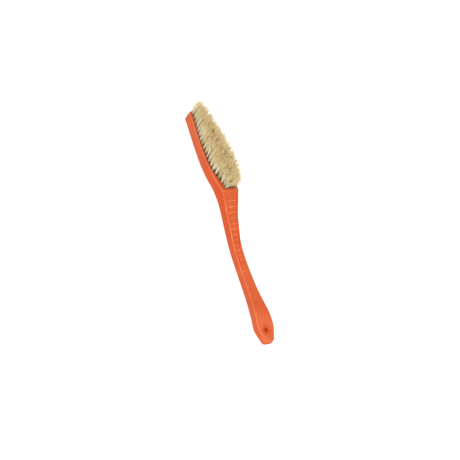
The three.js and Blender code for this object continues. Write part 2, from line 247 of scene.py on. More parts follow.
class Bench:
    """A piece on the bench: a primitive shaped by hand tools in edit mode, in millimetres."""

    def __init__(self, name: str, primitive: Callable[..., Any], **sizes: Any) -> None:
        """Adds the primitive that the piece starts from, and opens it for editing.

        Args:
            name: The piece's name.
            primitive: The operator that adds it.
            sizes: The primitive's sizes and place.
        """
        bpy.ops.object.select_all(action="DESELECT")
        primitive(**sizes)
        self.piece = bpy.context.active_object
        self.piece.name = name
        self.piece.data.name = name
        bpy.ops.object.transform_apply(location=True, rotation=True, scale=True)
        bpy.ops.object.mode_set(mode="EDIT")

    def pick(self, kind: Pick, accepts: Callable[[Any], bool]) -> None:
        """Selects the elements that a test accepts, and nothing else.

        Args:
            kind: Which kind of element is selected.
            accepts: Says of an element whether it is selected.
        """
        bpy.ops.mesh.select_mode(type=kind.value)
        bpy.ops.mesh.select_all(action="DESELECT")
        mesh = bmesh.from_edit_mesh(self.piece.data)
        mesh.normal_update()
        elements = {Pick.VERTS: mesh.verts, Pick.EDGES: mesh.edges, Pick.FACES: mesh.faces}[kind]
        chosen = [element for element in elements if accepts(element)]
        for element in chosen:
            element.select_set(True)
        mesh.select_flush_mode()
        bmesh.update_edit_mesh(self.piece.data)

    def picked_places(self) -> list[Vector]:
        """The places of the selected vertices."""
        mesh = bmesh.from_edit_mesh(self.piece.data)
        return [vert.co.copy() for vert in mesh.verts if vert.select]

    def move(self, step: Point) -> None:
        """Moves what is selected."""
        bpy.ops.transform.translate(value=step)

    def resize(self, factors: Point, about: Point) -> None:
        """Scales what is selected about a point."""
        bpy.ops.transform.resize(value=factors, center_override=about)

    def extrude(self, step: Point) -> None:
        """Extrudes what is selected along a step."""
        bpy.ops.mesh.extrude_region_move(TRANSFORM_OT_translate={"value": step})

    def inset(self, border: float, rise: float = 0.0) -> None:
        """Insets the selected faces by a border, raised or sunk along their normals."""
        bpy.ops.mesh.inset(thickness=border, depth=rise, use_boundary=True, use_even_offset=True)

    def round_edges(self, radius: float, steps: int) -> None:
        """Rounds the selected edges."""
        bpy.ops.mesh.bevel(offset=radius, segments=steps, affect="EDGES", clamp_overlap=False)

    def round_corners(self, radius: float, steps: int) -> None:
        """Rounds the selected corners of a sheet in its plane."""
        bpy.ops.mesh.bevel(offset=radius, segments=steps, affect="VERTICES", clamp_overlap=False)

    def close(self) -> bpy.types.Object:
        """Merges doubles, points the faces outwards and leaves edit mode.

        Returns:
            The piece.
        """
        bpy.ops.mesh.select_all(action="SELECT")
        bpy.ops.mesh.remove_doubles(threshold=DOUBLES)
        bpy.ops.mesh.normals_make_consistent(inside=False)
        bpy.ops.object.mode_set(mode="OBJECT")
        return self.piece


def combine(piece: bpy.types.Object, other: bpy.types.Object, merge: Merge) -> None:
    """Joins another closed piece to a piece, or cuts it out, and removes the other.

    Args:
        piece: The piece that is changed.
        other: The piece that is joined or cut out.
        merge: Which of the two is done.
    """
    make_only_selection(piece)
    bpy.ops.object.modifier_add(type="BOOLEAN")
    modifier = piece.modifiers[-1]
    modifier.operation = merge.value
    modifier.solver = "EXACT"
    modifier.object = other
    bpy.ops.object.modifier_apply(modifier=modifier.name)
    bpy.data.objects.remove(other)


def copies_joined(piece: bpy.types.Object, steps: Iterable[Point]) -> bpy.types.Object:
    """Copies a piece to each of several places and joins the copies.

    Args:
        piece: The piece that is copied; it is removed.
        steps: Where each copy goes, from the piece's own place.

    Returns:
        The joined copies as one object.
    """
    copies = []
    for step in steps:
        make_only_selection(piece)
        bpy.ops.object.duplicate()
        copy = bpy.context.active_object
        copy.location = step
        copies.append(copy)
    make_only_selection(copies[0])
    for copy in copies:
        copy.select_set(True)
    bpy.ops.object.transform_apply(location=True, rotation=True, scale=True)
    bpy.ops.object.join()
    bpy.data.objects.remove(piece)
    return bpy.context.active_object


@dataclass(frozen=True)
class Pattern:
    """A noise over a piece: its repeats for each metre and its octaves of finer noise.

    Along X there is only a share of the repeats that there are across.
    """

    per_metre: float
    detail: float
    share_along: float = 1.0


class NodeSheet:
    """A new material's node tree, with a Principled shader to wire up."""

    # Numbers of a mix's colour sockets, in and out
    MIX_COLOURS = (6, 7)
    MIXED_COLOUR = 2

    def __init__(self, name: str) -> None:
        """Starts a material.

        Args:
            name: The material's name.
        """
        self.material = bpy.data.materials.new(name)
        self.material.use_nodes = True
        self.tree = self.material.node_tree
        self.shader = self.tree.nodes["Principled BSDF"]

    def add(self, kind: str, **settings: Any) -> bpy.types.Node:
        """Adds a node.

        Args:
            kind: The node's type, without its common prefix.
            settings: Properties of the node, or values of its sockets by name with _ for spaces.

        Returns:
            The node.
        """
        node = self.tree.nodes.new("ShaderNode" + kind)
        for name, value in settings.items():
            if hasattr(node, name):
                setattr(node, name, value)
            else:
                node.inputs[name.replace("_", " ")].default_value = value
        return node

    def link(self, source: Socket, target: Socket) -> None:
        """Joins an output to an input."""
        self.tree.links.new(source, target)

    def noise(self, pattern: Pattern) -> Socket:
        """A noise over the piece's own coordinates, from 0 to 1.

        Args:
            pattern: The noise's size and detail.

        Returns:
            The noise's value.
        """
        place = self.add("Mapping", Scale=(pattern.share_along, 1, 1))
        noise = self.add("TexNoise", Scale=pattern.per_metre, Detail=pattern.detail)
        self.link(self.add("TexCoord").outputs["Object"], place.inputs["Vector"])
        self.link(place.outputs["Vector"], noise.inputs["Vector"])
        return noise.outputs["Fac"]

    def attribute(self, name: str) -> Socket:
        """A value that the mesh carries."""
        return self.add("Attribute", attribute_name=name).outputs["Fac"]

    def upward(self) -> Socket:
        """How far the surface faces upwards.

        Returns:
            The upward part of its normal, from -1 to 1.
        """
        parts = self.add("SeparateXYZ")
        self.link(self.add("TexCoord").outputs["Normal"], parts.inputs["Vector"])
        return parts.outputs["Z"]

    def product(self, first: Socket, second: Socket) -> Socket:
        """Two values multiplied.

        Args:
            first: A value.
            second: The other value.

        Returns:
            Their product.
        """
        product = self.add("Math", operation="MULTIPLY")
        self.link(first, product.inputs[0])
        self.link(second, product.inputs[1])
        return product.outputs["Value"]

    def ranged(self, value: Socket, source: Span, target: Span) -> Socket:
        """A value moved from one range to another, and kept within it.

        Args:
            value: The value.
            source: The range that it is read over.
            target: The range that it is moved to.

        Returns:
            The new value.
        """
        ranged = self.add("MapRange", From_Min=source[0], From_Max=source[1],
                          To_Min=target[0], To_Max=target[1])
        self.link(value, ranged.inputs["Value"])
        return ranged.outputs["Result"]

    def ramp(self, value: Socket, places: Sequence[float], colours: Sequence[Colour]) -> Socket:
        """A colour that runs from one to the next as a value rises.

        Args:
            value: The value, from 0 to 1.
            places: The value at which each colour is reached, in rising order.
            colours: The colours.

        Returns:
            The colour.
        """
        ramp = self.add("ValToRGB")
        elements = ramp.color_ramp.elements
        while len(elements) < len(places):
            elements.new(1.0)
        for element, place, colour in zip(elements, places, colours, strict=True):
            element.position = place
            element.color = (*colour, 1.0)
        self.link(value, ramp.inputs["Fac"])
        return ramp.outputs["Color"]

    def mixed(self, share: Socket, first: Socket | Colour, second: Socket | Colour) -> Socket:
        """Two colours mixed.

        Args:
            share: How much of the second there is.
            first: A colour, or a socket that gives one.
            second: A colour, or a socket that gives one.

        Returns:
            The mixed colour.
        """
        mix = self.add("Mix", data_type="RGBA")
        self.link(share, mix.inputs["Factor"])
        for colour, number in zip((first, second), self.MIX_COLOURS, strict=True):
            if isinstance(colour, Socket):
                self.link(colour, mix.inputs[number])
            else:
                mix.inputs[number].default_value = (*colour, 1.0)
        return mix.outputs[self.MIXED_COLOUR]

    def bump(self, height: Socket, depth: float, strength: float) -> None:
        """Roughens the surface.

        Args:
            height: A height from 0 to 1.
            depth: The depth that it stands for, in metres.
            strength: The share of it that shows.
        """
        bump = self.add("Bump", Distance=depth, Strength=strength)
        self.link(height, bump.inputs["Height"])
        self.link(bump.outputs["Normal"], self.shader.inputs["Normal"])

    def vary(self, socket: str, source: Socket) -> None:
        """Gives the surface a quality that varies over it."""
        self.link(source, self.shader.inputs[socket])

    def fix(self, socket: str, value: Any) -> None:
        """Gives the surface a quality that is the same all over."""
        self.shader.inputs[socket].default_value = value


@dataclass(frozen=True)
class MouldedPlastic:
    """Satin orange plastic with a fine mould grain and faint flow streaks.

    Pale speckles show more where it faces up, as painted light on its top faces. Its edges, crease,
    rib tops and tail front carry a painted highlight, the hang hole's wall a deeper orange of painted
    bounce light and the sides of the neck a darker one of painted shade. A span is the part of a noise
    that a mark is read over, and its shares are how much of the mark's colour shows at either end.
    Depths are in metres.
    """

    # Colours
    deep: Colour = (0.520, 0.081, 0.020)
    bright: Colour = (0.595, 0.100, 0.028)
    pale: Colour = (0.640, 0.135, 0.050)
    # Painted highlight on the edges, the crease, the rib tops and the front of the tail
    highlight_colour: Colour = (0.76, 0.235, 0.115)
    # Painted bounce light: a deeper, more saturated orange on the hang hole's wall
    hole_bounce_light: Colour = (0.74, 0.115, 0.018)
    # Painted shade: a darker, more saturated orange on the sides of the neck
    painted_side_shade: Colour = (0.535, 0.071, 0.0165)
    # Patterns
    mottle: Pattern = Pattern(per_metre=70.0, detail=4.0)
    speckles: Pattern = Pattern(per_metre=1100.0, detail=3.0)
    streaks: Pattern = Pattern(per_metre=260.0, detail=3.0, share_along=0.06)
    grain: Pattern = Pattern(per_metre=2400.0, detail=2.0)
    grain_depth: float = 0.00006
    grain_strength: float = 0.35
    # Where the marks show
    # How far the surface must face up for the painted light on its top faces
    top_light_span: Span = (0.25, 0.75)
    speckle_span: Span = (0.42, 0.68)
    speckle_shares: Span = (0.1, 0.6)
    streak_span: Span = (0.5, 0.72)
    streak_shares: Span = (0.0, 0.4)
    patch_span: Span = (0.35, 0.65)
    patch_shares: Span = (0.4, 0.9)
    side_shade_shares: Span = (0.0, 0.85)
    # Gloss
    satin: Span = (0.34, 0.46)
    sheen: float = 0.07
    # Values that the mesh carries
    # Marks of the painted highlight
    highlight_attribute: str = "painted_highlight"
    # Where the hang hole's wall gets its painted bounce light
    bore_attribute: str = "bore"
    # Marks of the painted shade on the side walls
    side_shade_attribute: str = "painted_side_shade"

    def material(self) -> bpy.types.Material:
        """Mixes the plastic.

        Returns:
            The material.
        """
        sheet = NodeSheet("orange_plastic")
        mottle = sheet.noise(self.mottle)
        bore = sheet.attribute(self.bore_attribute)
        body = sheet.ramp(mottle, NOISE_SPAN, (self.deep, self.bright))
        # Painted light on the top faces: the pale speckles show more where the surface faces up
        painted_top_light = sheet.ranged(sheet.upward(), self.top_light_span, self.speckle_shares)
        speckles = sheet.ranged(sheet.noise(self.speckles), self.speckle_span, WHOLE)
        speckled = sheet.mixed(sheet.product(speckles, painted_top_light), body, self.pale)
        streaks = sheet.ranged(sheet.noise(self.streaks), self.streak_span, self.streak_shares)
        streaked = sheet.mixed(streaks, speckled, self.pale)
        # Painted shade on the side walls, deepest along the neck
        painted_side_shade = sheet.ranged(sheet.attribute(self.side_shade_attribute), WHOLE, self.side_shade_shares)
        side_shaded = sheet.mixed(painted_side_shade, streaked, self.painted_side_shade)
        patches = sheet.ranged(mottle, self.patch_span, self.patch_shares)
        # Painted highlight, in patches, where the mesh marks it
        highlight_share = sheet.product(sheet.attribute(self.highlight_attribute), patches)
        highlighted = sheet.mixed(highlight_share, side_shaded, self.highlight_colour)
        # Painted bounce light on the wall of the hang hole
        sheet.vary("Base Color", sheet.mixed(bore, highlighted, self.hole_bounce_light))
        sheet.vary("Roughness", sheet.ranged(mottle, NOISE_SPAN, self.satin))
        sheet.vary("Specular IOR Level", sheet.ranged(bore, WHOLE, (self.sheen, 0.0)))
        sheet.bump(sheet.noise(self.grain), self.grain_depth, self.grain_strength)
        return sheet.material


@dataclass(frozen=True)
class BoarBristle:
    """Natural bristle: straw to cream hairs with a few brown ones.

    A hair is banded along its length, shaded towards its root and golden at its tip. The gold's span is a
    part of the hair's length. Depths are in metres.
    """

    # Colours
    brown: Colour = (0.46, 0.31, 0.12)
    straw: Colour = (0.88, 0.72, 0.38)
    cream: Colour = (0.97, 0.90, 0.63)
    shaded: Colour = (0.075, 0.054, 0.018)
    gold: Colour = (0.70, 0.49, 0.17)
    tones: tuple[float, ...] = (0.0, 0.42, 0.95)
    # Bands and tips
    bands: Pattern = Pattern(per_metre=420.0, detail=3.0)
    band_span: Span = (0.4, 0.7)
    band_shares: Span = (0.0, 0.3)
    band_depth: float = 0.00002
    band_strength: float = 0.2
    gold_span: Span = (0.75, 1.0)
    gold_shares: Span = (0.0, 0.55)
    # Gloss
    dull: Span = (0.52, 0.68)
    gloss: float = 0.25
    # Values that the mesh carries
    tone_attribute: str = "tone"
    along_attribute: str = "along"
    shade_attribute: str = "shade"

    def material(self) -> bpy.types.Material:
        """Mixes the hair.

        Returns:
            The material.
        """
        sheet = NodeSheet("boar_bristle")
        tone = sheet.attribute(self.tone_attribute)
        bands = sheet.noise(self.bands)
        hair = sheet.ramp(tone, self.tones, (self.brown, self.straw, self.cream))
        banded = sheet.mixed(sheet.ranged(bands, self.band_span, self.band_shares), hair, self.straw)
        # Painted shade towards the roots, deepest between the tufts
        rooted = sheet.mixed(sheet.attribute(self.shade_attribute), banded, self.shaded)
        golden = sheet.ranged(sheet.attribute(self.along_attribute), self.gold_span, self.gold_shares)
        sheet.vary("Base Color", sheet.mixed(golden, rooted, self.gold))
        sheet.vary("Roughness", sheet.ranged(tone, WHOLE, self.dull))
        sheet.fix("Specular IOR Level", self.gloss)
        sheet.bump(bands, self.band_depth, self.band_strength)
        return sheet.material


@dataclass(frozen=True)
class DrawnWire:
    """Flat steel wire with the fine streaks of the die that it was drawn through."""

    dark: Colour = (0.36, 0.36, 0.37)
    light: Colour = (0.62, 0.63, 0.65)
    streaks: Pattern = Pattern(per_metre=9000.0, detail=3.0, share_along=0.05)
    streak_depth: float = 0.00001
    streak_strength: float = 0.3
    polish: Span = (0.24, 0.42)

    def material(self) -> bpy.types.Material:
        """Mixes the steel.

        Returns:
            The material.
        """
        sheet = NodeSheet("drawn_wire")
        streaks = sheet.noise(self.streaks)
        sheet.fix("Metallic", 1.0)
        sheet.vary("Base Color", sheet.ramp(streaks, NOISE_SPAN, (self.dark, self.light)))
        sheet.vary("Roughness", sheet.ranged(streaks, NOISE_SPAN, self.polish))
        sheet.bump(streaks, self.streak_depth, self.streak_strength)
        return sheet.material


@dataclass(frozen=True)
class Station:
    """A place along the handle whose width, drop and thickness are known, in millimetres."""

    run: float
    width: float
    drop: float
    thickness: float


@dataclass
class HandleMoulding:
    """The one-piece handle: head, cranked neck with its thumb panel, grip and tail, in millimetres.

    A station's run is measured from the one before it, and its drop from the bristle face. The panel's
    wall leans by a share of its height, and a rib's shoulder stands at a share of the rib's. The foot of
    the dish is given outwards from the hang hole's wall and upwards from the dish's floor, and its brim
    outwards from the dish's edge and upwards from the front.
    """

    # Stations from the tip to the end
    tip: Station = Station(run=0, width=10.2, drop=0, thickness=11.4)
    head: Station = Station(run=61.5, width=23.2, drop=0, thickness=11.4)
    crease: Station = Station(run=27.3, width=18.1, drop=0, thickness=13.8)
    throat: Station = Station(run=23.7, width=11.3, drop=15.1, thickness=11.6)
    waist: Station = Station(run=25.3, width=9.3, drop=26.8, thickness=9.4)
    grip: Station = Station(run=36, width=10.8, drop=32, thickness=9.4)
    flare: Station = Station(run=25.7, width=15.4, drop=33.7, thickness=10.4)
    tail: Station = Station(run=10.5, width=17.7, drop=36.9, thickness=9.4)
    end: Station = Station(run=16.3, width=10.4, drop=42, thickness=6.2)
    # Flat of the back, edges and corners
    flat_back: float = 76.5
    mount_from_tip: float = 45
    front_edge_radius: float = 1.1
    back_edge_radius: float = 1.3
    crease_radius: float = 0.35
    tip_corner_radius: float = 2.7
    end_corner_radius: float = 2.7
    corner_room: float = 1.2
    parting_draft: float = 0.3
    # Thumb panel and its ribs
    panel_setback: float = 3.2
    panel_length: float = 58
    panel_border: float = 1.7
    panel_depth: float = 0.7
    panel_wall_lean: float = 0.25
    panel_corner_radius: float = 2.4
    panel_rim_radius: float = 0.3
    panel_floor_share: float = 0.9
    rib_count: int = 12
    rib_height: float = 0.5
    rib_draft: float = 0.3
    rib_shoulder: float = 0.7
    rib_top_span: Span = (0.5, 2)
    # Hang hole and its dish
    hang_hole_from_end: float = 10.8
    hang_hole_diameter: float = 4.4
    dish_diameter: float = 11
    dish_depth: float = 1
    dish_foot: tuple[Span, ...] = ((0, -0.25), (0.1, 0), (0.4, 0.2))
    dish_brim: tuple[Span, ...] = ((-0.5, -0.14), (0, 0.04), (0.6, 0.12))
    slope_span: float = 2
    # Tuft holes and their anchor slots
    tuft_hole_diameter: float = 3
    tuft_hole_depth: float = 8
    tuft_hole_chamfer: float = 0.2
    anchor_slot: Point = (4.3, 1.05, 2.3)
    anchor_slot_middle: float = -5.65
    anchor_turn: float = math.radians(30)
    # Painted highlight, from 0 to 1, and what marks fade over; on edges that is in radii of the edge
    painted_highlight: float = 0.65
    edge_highlight_end: float = 1.05
    edge_highlight_fade: float = 0.45
    rib_highlight: float = 0.7
    crease_highlight: float = 0.2
    highlight_fade_below_crease: float = 14
    tail_highlight: float = 0.36
    highlight_slack: float = 0.3
    bore_fade: float = 0.4
    # Painted shade on the side walls at the stations from the tip to the grip
    side_shade_stations: tuple[float, ...] = (0, 0.45, 1, 1, 0.6, 0)
    side_shade_fade: float = 0.3
    # Fineness of the mesh
    head_row_step: float = 2.4
    handle_row_step: float = 2.0
    rows_per_rib: int = 5
    edge_steps: int = 4
    crease_steps: int = 3
    corner_steps: int = 6
    rim_steps: int = 3
    hole_sides: int = 20
    hang_hole_sides: int = 40
    smooth_angle: float = math.radians(28)
    # Room for tools: past a cut, under the front, and down to a new sheet
    cut_reach: float = 2
    front_skin: float = 1
    sheet_step: float = 60
    finish: MouldedPlastic = field(default_factory=MouldedPlastic)

    def __post_init__(self) -> None:
        """Works out the stations' places and the curves through them."""
        stations = (self.tip, self.head, self.crease, self.throat, self.waist, self.grip, self.flare,
                    self.tail, self.end)
        places = list(np.cumsum([station.run for station in stations]))
        backs = [-station.drop - station.thickness for station in stations]
        crease = stations.index(self.crease)
        self.crease_place = places[crease]
        self.flare_place = places[stations.index(self.flare)]
        self.end_place = places[-1]
        self.half_width = FairCurve(places, [station.width / 2 for station in stations])
        self.neck_front = FairCurve(places[crease:], [-station.drop for station in stations[crease:]])
        self.back = FairCurve([0, self.flat_back, *places[crease:]], [backs[0], backs[0], *backs[crease:]])
        self.side_shade_curve = FairCurve(places[:len(self.side_shade_stations)], self.side_shade_stations)
        self.panel_start = self.crease_place + self.panel_setback
        self.panel_end = self.panel_start + self.panel_length
        self.inner_border = self.panel_border - self.front_edge_radius

    def mount_point(self) -> Point:
        """The place of the mount on the flat of the head's back."""
        return (self.mount_from_tip, 0, -self.head.thickness)

    def front(self, x: float) -> float:
        """Height of the front: flat under the bristles, then down the neck and along the handle."""
        return 0.0 if x <= self.crease_place else self.neck_front(x)

    def rib_pitch(self) -> float:
        """Distance from one rib of the thumb panel to the next."""
        return (self.panel_length - 2 * self.panel_corner_radius) / self.rib_count

    def rib_middles(self) -> list[float]:
        """Places of the ribs along the handle."""
        first = self.panel_start + self.panel_corner_radius + self.rib_pitch() / 2
        return [first + i * self.rib_pitch() for i in range(self.rib_count)]

    def rows(self) -> list[float]:
        """Places of the rows of points along the handle, close together where it turns.

        Returns:
            The places, from the tip to the end.
        """
        arc = arc_depths(self.panel_corner_radius, self.corner_steps)[1:]
        ribs_start = self.panel_start + self.panel_corner_radius
        ribs_end = self.panel_end - self.panel_corner_radius
        tip_row = self.tip_corner_radius + self.corner_room
        end_row = self.end_place - self.end_corner_radius - self.corner_room
        return [
            0.0,
            *spread(tip_row, self.flat_back, self.head_row_step),
            *spread(self.flat_back, self.crease_place, self.handle_row_step),
            *spread(self.crease_place, self.panel_start - self.inner_border, self.handle_row_step),
            self.panel_start - self.inner_border,
            *[self.panel_start + depth for depth in arc],
            *spread(ribs_start, ribs_end, self.rib_pitch() / self.rows_per_rib),
            ribs_end,
            *[self.panel_end - depth for depth in reversed(arc)],
            *spread(self.panel_end + self.inner_border, end_row, self.handle_row_step),
            end_row,
            self.end_place,
        ]

    def draw_front(self) -> Bench:
        """Draws the front as a strip, row by row, and rounds the corners of its two ends.

        Returns:
            The strip, on the bench.
        """
        bench = Bench("handle_moulding", bpy.ops.mesh.primitive_plane_add, size=2)
        rows = self.rows()
        for row, side in zip(rows[:2], (-1, 1), strict=True):
            bench.pick(Pick.VERTS, lambda vert, side=side: abs(vert.co.x - side) < SAME_SHEET)
            bench.move((row - side, 0, self.front(row)))
            bench.resize((1, self.half_width(row), 1), (row, 0, self.front(row)))
        for before, row in pairwise(rows[1:]):
            widening = self.half_width(row) / self.half_width(before)
            bench.extrude((row - before, 0, self.front(row) - self.front(before)))
            bench.resize((1, widening, 1), (row, 0, self.front(row)))
        bench.pick(Pick.VERTS, lambda vert: vert.co.x < SAME_ROW)
        bench.round_corners(self.tip_corner_radius, self.corner_steps)
        bench.pick(Pick.VERTS, lambda vert: vert.co.x > self.end_place - SAME_ROW)
        bench.round_corners(self.end_corner_radius, self.corner_steps)
        return bench

    def thicken(self, bench: Bench) -> None:
        """Gives the strip its thickness, in two steps that meet at the mould's parting line.

        Args:
            bench: The strip.
        """
        bench.pick(Pick.FACES, lambda face: True)
        self.extrude_sheet(bench, lambda x: (self.front(x) + self.back(x)) / 2, self.parting_draft)
        self.extrude_sheet(bench, self.back, -self.parting_draft)
        bpy.ops.mesh.select_all(action="SELECT")
        bpy.ops.mesh.normals_make_consistent(inside=False)

    def extrude_sheet(self, bench: Bench, line: Callable[[float], float], widening: float) -> None:
        """Extrudes the selected sheet down to a line of heights, and widens it on both sides.

        Args:
            bench: The strip, with its lower sheet selected.
            line: The sheet's new height at a place along the handle.
            widening: How much wider it gets on each side.
        """
        bench.extrude((0, 0, -self.sheet_step))
        widest: dict[float, Vector] = {}
        for place in bench.picked_places():
            row = round(place.x, ROW_DIGITS)
            if row not in widest or abs(place.y) > abs(widest[row].y):
                widest[row] = place
        for x, place in widest.items():
            bench.pick(Pick.VERTS, lambda vert, x=x, z=place.z: abs(vert.co.x - x) < SAME_ROW
                       and abs(vert.co.z - z) < SAME_SHEET)
            bench.move((0, 0, line(x) - place.z))
            bench.resize((1, 1 + widening / abs(place.y), 1), (x, 0, line(x)))
        heights = {x: line(x) for x in widest}
        bench.pick(Pick.FACES, lambda face: self.is_level(face, heights))

    @staticmethod
    def is_level(face: bmesh.types.BMFace, heights: dict[float, float]) -> bool:
        """Whether every corner of a face stands at the height that its row is given."""
        return all(abs(vert.co.z - heights[round(vert.co.x, ROW_DIGITS)]) < ON_LINE for vert in face.verts)

    @staticmethod
    def is_rim(edge: bmesh.types.BMEdge, side: int) -> bool:
        """Whether an edge runs between a side wall and the front or the back.

        Args:
            edge: An edge of the moulding.
            side: 1 for the front, -1 for the back.

        Returns:
            True for such an edge.
        """
        slopes = sorted(abs(face.normal.z) for face in edge.link_faces)
        faces_out = any(face.normal.z * side > FACES_UP for face in edge.link_faces)
        return len(slopes) == 2 and slopes[0] < FACES_ASIDE and faces_out

    def is_on_crease(self, vert: bmesh.types.BMVert) -> bool:
        """Whether a vertex stands on the crease over the neck."""
        return abs(vert.co.x - self.crease_place) < ON_LINE and vert.co.z > -ON_LINE

    def round_all_edges(self, bench: Bench) -> None:
        """Rounds the edges of the front and the back, and breaks the crease over the neck.

        Args:
            bench: The thickened strip.
        """
        for side, radius in ((1, self.front_edge_radius), (-1, self.back_edge_radius)):
            bench.pick(Pick.EDGES, lambda edge, side=side: self.is_rim(edge, side))
            bench.round_edges(radius, self.edge_steps)
        bench.pick(Pick.EDGES, lambda edge: all(self.is_on_crease(vert) for vert in edge.verts))
        bench.round_edges(self.crease_radius, self.crease_steps)

    @staticmethod
    def is_middle_front(face: bmesh.types.BMFace, start: float, end: float) -> bool:
        """Whether a face of the front lies on the middle line, between two places along it."""
        middle = face.calc_center_median()
        return abs(middle.y) < MIDDLE_LINE and start < middle.x < end and face.normal.z > FACES_UP

    def outline_panel(self, bench: Bench) -> None:
        """Marks out the thumb panel on the neck, with rounded corners.

        Args:
            bench: The rounded moulding.
        """
        start = self.panel_start - self.inner_border
        end = self.panel_end + self.inner_border
        bench.pick(Pick.FACES, lambda face: self.is_middle_front(face, start, end))
        bench.inset(self.inner_border)
        corner = self.panel_corner_radius
        edges = {round(place.x, ROW_DIGITS): place for place in bench.picked_places()}
        for x, place in edges.items():
            draw = drawn_in(corner, x - self.panel_start) + drawn_in(corner, self.panel_end - x)
            half = self.half_width(x) - self.panel_border - draw
            reach = abs(place.y) + SAME_SHEET
            low = self.front(x) - self.front_skin
            bench.pick(Pick.VERTS, lambda vert, x=x, reach=reach, low=low: abs(vert.co.x - x) < SAME_ROW
                       and abs(vert.co.y) < reach and vert.co.z > low)
            bench.resize((1, half / abs(place.y), 1), (x, 0, place.z))

    def sink_panel(self, bench: Bench) -> None:
        """Sinks the thumb panel into the neck, with a rounded rim and foot.

        Args:
            bench: The moulding with its panel marked out.
        """
        bench.pick(Pick.FACES, lambda face: self.is_middle_front(face, self.panel_start, self.panel_end))
        rim = self.panel_rim_radius
        wall = self.panel_depth - 2 * rim
        turns = [math.pi / 2 * i / self.rim_steps for i in range(self.rim_steps + 1)]
        steps = list(pairwise(turns))
        for low, high in steps:
            bench.inset(rim * (math.sin(high) - math.sin(low)), -rim * (math.cos(low) - math.cos(high)))
        bench.inset(wall * self.panel_wall_lean, -wall)
        for high, low in reversed(steps):
            bench.inset(rim * (math.cos(high) - math.cos(low)), -rim * (math.sin(low) - math.sin(high)))

    def is_on_rib(self, face: bmesh.types.BMFace) -> bool:
        """Whether a face of the panel's floor lies where a rib rises.

        Args:
            face: A face of the moulding.

        Returns:
            True for a face of a rib's strip.
        """
        middle = face.calc_center_median()
        reach = self.rib_pitch() / self.rows_per_rib
        on_floor = self.front(middle.x) - middle.z > self.panel_floor_share * self.panel_depth
        near_rib = min(abs(middle.x - rib) for rib in self.rib_middles()) < reach
        return on_floor and near_rib and self.is_middle_front(face, self.panel_start, self.panel_end)

    def raise_ribs(self, bench: Bench) -> None:
        """Raises plain ribs across the floor of the thumb panel, with drafted sides and a rounded top.

        Args:
            bench: The moulding with its panel sunk.
        """
        bench.pick(Pick.FACES, self.is_on_rib)
        bench.inset(self.rib_draft, self.rib_height * self.rib_shoulder)
        bench.inset(self.rib_draft / 2, self.rib_height * (1 - self.rib_shoulder))

    def tuft_hole(self) -> bpy.types.Object:
        """Models one blind tuft hole, with a broken edge and the slot that the anchor bites.

        Returns:
            The hole as a solid.
        """
        radius = self.tuft_hole_diameter / 2
        wide = radius + self.tuft_hole_chamfer
        bench = Bench("tuft_hole", bpy.ops.mesh.primitive_circle_add, vertices=self.hole_sides,
                      radius=radius, fill_type="NGON", location=(0, 0, -self.tuft_hole_depth))
        bench.pick(Pick.FACES, lambda face: True)
        bench.extrude((0, 0, self.tuft_hole_depth - self.tuft_hole_chamfer))
        bench.extrude((0, 0, self.tuft_hole_chamfer))
        bench.resize((wide / radius, wide / radius, 1), (0, 0, 0))
        bench.extrude((0, 0, self.cut_reach))
        hole = bench.close()
        slot = Bench("anchor_slot", bpy.ops.mesh.primitive_cube_add, size=1, scale=self.anchor_slot,
                     location=(0, 0, self.anchor_slot_middle), rotation=(0, 0, self.anchor_turn)).close()
        combine(hole, slot, Merge.JOIN)
        return hole

    def hang_hole_place(self) -> tuple[Vector, float]:
        """Where the hang hole is, square to the front of the tail.

        Returns:
            The middle of its mouth, and its turn about Y.
        """
        x = self.end_place - self.hang_hole_from_end
        rise = self.front(x + self.slope_span / 2) - self.front(x - self.slope_span / 2)
        return Vector((x, 0, self.front(x))), math.atan2(-rise, self.slope_span)

    def hang_hole(self) -> bpy.types.Object:
        """Models the hang hole with the shallow dish round its mouth.

        Returns:
            The hole as a solid.
        """
        wide = self.hang_hole_diameter / 2
        dish = self.dish_diameter / 2
        height = -2 * self.tail.thickness
        profile = [(wide + out, up - self.dish_depth) for out, up in self.dish_foot]
        profile += [(dish + out, up) for out, up in self.dish_brim]
        profile.append((profile[-1][0], self.cut_reach))
        bench = Bench("hang_hole", bpy.ops.mesh.primitive_circle_add, vertices=self.hang_hole_sides,
                      radius=wide, fill_type="NGON", location=(0, 0, height))
        bench.pick(Pick.FACES, lambda face: True)
        for next_wide, next_height in profile:
            bench.extrude((0, 0, next_height - height))
            bench.resize((next_wide / wide, next_wide / wide, 1), (0, 0, next_height))
            wide = next_wide
            height = next_height
        hole = bench.close()
        mouth, turn = self.hang_hole_place()
        hole.rotation_euler = (0, turn, 0)
        hole.location = mouth
        make_only_selection(hole)
        bpy.ops.object.transform_apply(location=True, rotation=True, scale=True)
        return hole

    def is_on_rib_top(self, point: Vector) -> bool:
        """Whether a point of the moulding lies on the top of one of the panel's ribs.

        Args:
            point: A point of the moulding.

        Returns:
            True on a rib's top.
        """
        x, y, z = point
        inside = abs(y) < self.half_width(x) - self.panel_border - 2 * self.panel_rim_radius
        sunk = (self.front(x) - z) / (self.panel_depth - self.rib_height)
        low, high = self.rib_top_span
        return inside and self.panel_start < x < self.panel_end and low < sunk < high

    def inwards(self, point: Vector) -> float:
        """How far a point lies inside the handle's outline, seen from the front.

        Args:
            point: A point of the moulding.

        Returns:
            The distance, which is 0 on the side walls.
        """
        half = self.half_width(point.x) - drawn_in(self.tip_corner_radius, point.x)
        half -= drawn_in(self.end_corner_radius, self.end_place - point.x)
        return max(min(half - abs(point.y), point.x, self.end_place - point.x), 0)

